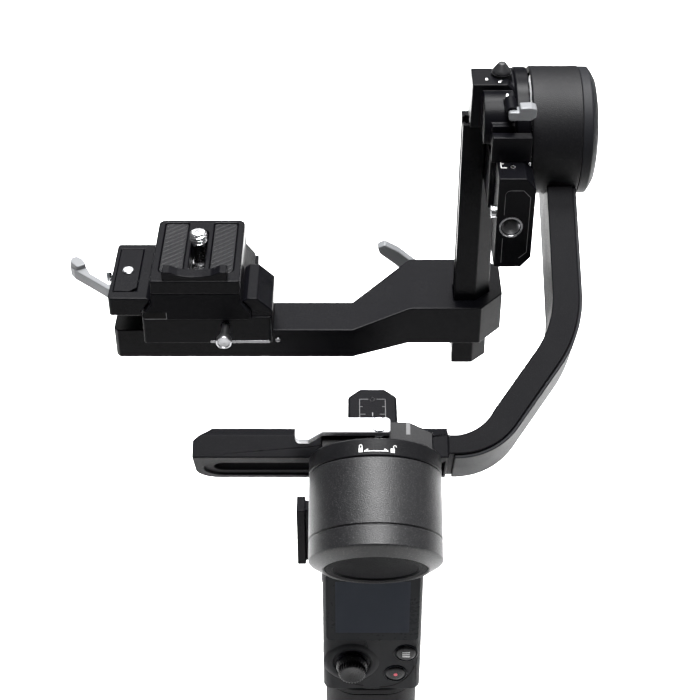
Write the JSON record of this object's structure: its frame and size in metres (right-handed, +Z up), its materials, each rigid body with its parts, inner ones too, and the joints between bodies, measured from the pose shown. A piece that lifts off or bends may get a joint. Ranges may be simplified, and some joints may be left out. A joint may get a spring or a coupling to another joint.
{
  "type": "camera gimbal",
  "caption": "Handheld camera stabiliser: control grip, pan, roll and tilt motors, slotted roll arm, vertical rail and a quick-release camera plate.",
  "frame": {"origin": "centre of the grip's foot, at the mouth of the tripod thread, on the pan axis", "axes": "+Z up along the pan axis, +Y away from the user towards the lens side, +X to the user's right"},
  "size_m": [0.1913, 0.1734, 0.3234],
  "materials": {
    "housing_black": "fine satin anodised",
    "casting_black": "fine textured",
    "clamp_black": "satin anodised",
    "grip_polymer": "fine textured",
    "head_polymer": "fine textured",
    "control_polymer": "knurled or smooth satin",
    "screen_glass": "gloss, near opaque",
    "display": "dark display",
    "board_green": "solder mask",
    "cell_wrap": "shrink sleeve",
    "steel_pale": "satin",
    "steel_dark": "black oxide",
    "lever_pale": "satin silver",
    "lever_grey": "satin grey",
    "chrome": "bright",
    "copper": "varnished winding",
    "pad_rubber": "ribbed",
    "lock_black": "moulded"
  },
  "bodies": {
    "handle": {"grip_shell": "grip_polymer", "base_insert": "steel_pale", "battery_cells": "cell_wrap", "rear_shell": "head_polymer", "front_shell": "head_polymer", "display_panel": "display", "screen_glass": "screen_glass", "control_board": "board_green", "accessory_rail": "clamp_black", "shell_screws": "steel_dark", "pan_stator_housing": "housing_black", "pan_bearing": "steel_pale"},
    "joystick_pivot": {"joystick_ring": "steel_dark"},
    "joystick": {"joystick_cap": "control_polymer"},
    "mode_key": {"mode_button": "control_polymer"},
    "record_key": {"record_button": "control_polymer"},
    "trigger_key": {"trigger": "control_polymer"},
    "dial": {"front_dial": "control_polymer"},
    "power_key": {"power_button": "control_polymer"},
    "pan_lock_slide": {"pan_lock": "lever_grey"},
    "pan_stage": {"pan_rotor": "housing_black", "pan_clamp": "clamp_black"},
    "pan_clamp_lever": {"pan_lever": "lever_grey"},
    "pan_arm": {"pan_bar": "clamp_black", "roll_motor_housing": "housing_black", "roll_motor_cap": "housing_black", "roll_stator": "copper", "roll_bearing": "steel_pale"},
    "roll_stage": {"roll_rotor": "housing_black", "roll_clamp": "clamp_black"},
    "roll_clamp_lever": {"roll_lever": "lever_pale", "roll_lever_screw": "steel_pale"},
    "roll_arm_stage": {"roll_arm": "casting_black", "arm_cover": "head_polymer", "tilt_motor_housing": "housing_black", "tilt_motor_cap": "head_polymer", "tilt_stator": "copper", "tilt_bearing": "steel_pale"},
    "tilt_stage": {"tilt_rotor": "clamp_black", "tilt_clamp": "clamp_black"},
    "tilt_clamp_lever": {"tilt_lever": "lever_grey"},
    "tilt_lock_pin": {"tilt_lock": "lock_black"},
    "depth_stage": {"depth_slider": "clamp_black", "slider_block": "clamp_black", "vertical_rail": "clamp_black", "rail_screw": "steel_pale"},
    "base_stage": {"base_bar": "clamp_black", "qr_base": "clamp_black", "qr_side_jaw": "clamp_black", "qr_cover": "clamp_black", "cover_screw": "steel_pale", "jaw_pin": "steel_pale"},
    "base_clamp_lever": {"base_lever": "lever_grey"},
    "qr_clamp_lever": {"qr_lever": "lever_grey"},
    "pull_pin": {"safety_pin": "chrome"},
    "plate": {"lower_plate": "clamp_black", "upper_plate": "clamp_black", "plate_pads": "pad_rubber"},
    "screw": {"camera_screw": "chrome"}
  },
  "joints": [
    {"name": "pan_turn", "type": "hinge", "parent": "handle", "child": "pan_stage", "pos_m": [0, 0, 0.19], "axis": [0, 0, 1], "continuous": true},
    {"name": "pan_clamp_turn", "type": "hinge", "parent": "pan_stage", "child": "pan_clamp_lever", "pos_m": [0.015, 0, 0.2014], "axis": [1, 0, 0], "range_deg": [-30, 0]},
    {"name": "pan_arm_slide", "type": "slide", "parent": "pan_stage", "child": "pan_arm", "axis": [0, 1, 0], "range_m": [-0.028, 0]},
    {"name": "roll_turn", "type": "hinge", "parent": "pan_arm", "child": "roll_stage", "pos_m": [0, -0.043, 0.225], "axis": [0, 0.866, 0.5], "range_deg": [-25, 25]},
    {"name": "roll_clamp_turn", "type": "hinge", "parent": "roll_stage", "child": "roll_clamp_lever", "pos_m": [0.0011, -0.02657, 0.24834], "axis": [0, -0.5, 0.866], "range_deg": [-90, 0]},
    {"name": "roll_arm_slide", "type": "slide", "parent": "roll_stage", "child": "roll_arm_stage", "axis": [1, 0, 0], "range_m": [0, 0.045]},
    {"name": "tilt_turn", "type": "hinge", "parent": "roll_arm_stage", "child": "tilt_stage", "pos_m": [0.05, 0.07998, 0.296], "axis": [1, 0, 0], "range_deg": [-30, 214]},
    {"name": "tilt_clamp_turn", "type": "hinge", "parent": "tilt_stage", "child": "tilt_clamp_lever", "pos_m": [0.0464, 0.0577, 0.3154], "axis": [0, 1, 0], "range_deg": [-80, 0]},
    {"name": "tilt_lock_press", "type": "slide", "parent": "tilt_stage", "child": "tilt_lock_pin", "axis": [0, 0, 1], "range_m": [0, 0.002]},
    {"name": "depth_slide", "type": "slide", "parent": "tilt_stage", "child": "depth_stage", "axis": [0, 1, 0], "range_m": [-0.018, 0]},
    {"name": "height_slide", "type": "slide", "parent": "depth_stage", "child": "base_stage", "axis": [0, 0, 1], "range_m": [-0.004, 0.045]},
    {"name": "base_clamp_turn", "type": "hinge", "parent": "base_stage", "child": "base_clamp_lever", "pos_m": [0.025, 0.1, 0.2162], "axis": [0, 1, 0], "range_deg": [-20, 0]},
    {"name": "qr_clamp_turn", "type": "hinge", "parent": "base_stage", "child": "qr_clamp_lever", "pos_m": [-0.0915, 0.0595, 0.237], "axis": [0, 0, 1], "range_deg": [0, 40]},
    {"name": "safety_pin_pull", "type": "slide", "parent": "base_stage", "child": "pull_pin", "axis": [0, -1, 0], "range_m": [0, 0.004], "stiffness_N_per_m": 300, "springref_m": -0.001},
    {"name": "plate_slide", "type": "slide", "parent": "base_stage", "child": "plate", "axis": [0, -1, 0], "range_m": [0, 0.035]},
    {"name": "screw_turn", "type": "hinge", "parent": "plate", "child": "screw", "pos_m": [-0.0641, 0.0735, 0.245], "axis": [0, 0, 1], "continuous": true},
    {"name": "joystick_up_down", "type": "hinge", "parent": "handle", "child": "joystick_pivot", "pos_m": [-0.0074, -0.015, 0.1251], "axis": [1, 0, 0], "range_deg": [-10, 10], "stiffness_Nm_per_rad": 0.02},
    {"name": "joystick_side", "type": "hinge", "parent": "joystick_pivot", "child": "joystick", "pos_m": [-0.0074, -0.015, 0.1251], "axis": [0, 0, 1], "range_deg": [-10, 10], "stiffness_Nm_per_rad": 0.02},
    {"name": "mode_press", "type": "slide", "parent": "handle", "child": "mode_key", "axis": [0, 1, 0], "range_m": [0, 0.0008], "stiffness_N_per_m": 400, "springref_m": -0.0004},
    {"name": "record_press", "type": "slide", "parent": "handle", "child": "record_key", "axis": [0, 1, 0], "range_m": [0, 0.0006], "stiffness_N_per_m": 400, "springref_m": -0.0004},
    {"name": "trigger_pull", "type": "hinge", "parent": "handle", "child": "trigger_key", "pos_m": [0, 0.0136, 0.1536], "axis": [1, 0, 0], "range_deg": [-8, 0], "stiffness_Nm_per_rad": 0.2, "springref_deg": 1.15},
    {"name": "dial_turn", "type": "hinge", "parent": "handle", "child": "dial", "pos_m": [0, 0.0135, 0.13], "axis": [1, 0, 0], "continuous": true},
    {"name": "power_press", "type": "slide", "parent": "handle", "child": "power_key", "axis": [1, 0, 0], "range_m": [0, 0.0008], "stiffness_N_per_m": 400, "springref_m": -0.0004},
    {"name": "pan_lock_move", "type": "slide", "parent": "handle", "child": "pan_lock_slide", "axis": [0, 1, 0], "range_m": [-0.0028, 0.0028]}
  ]
}
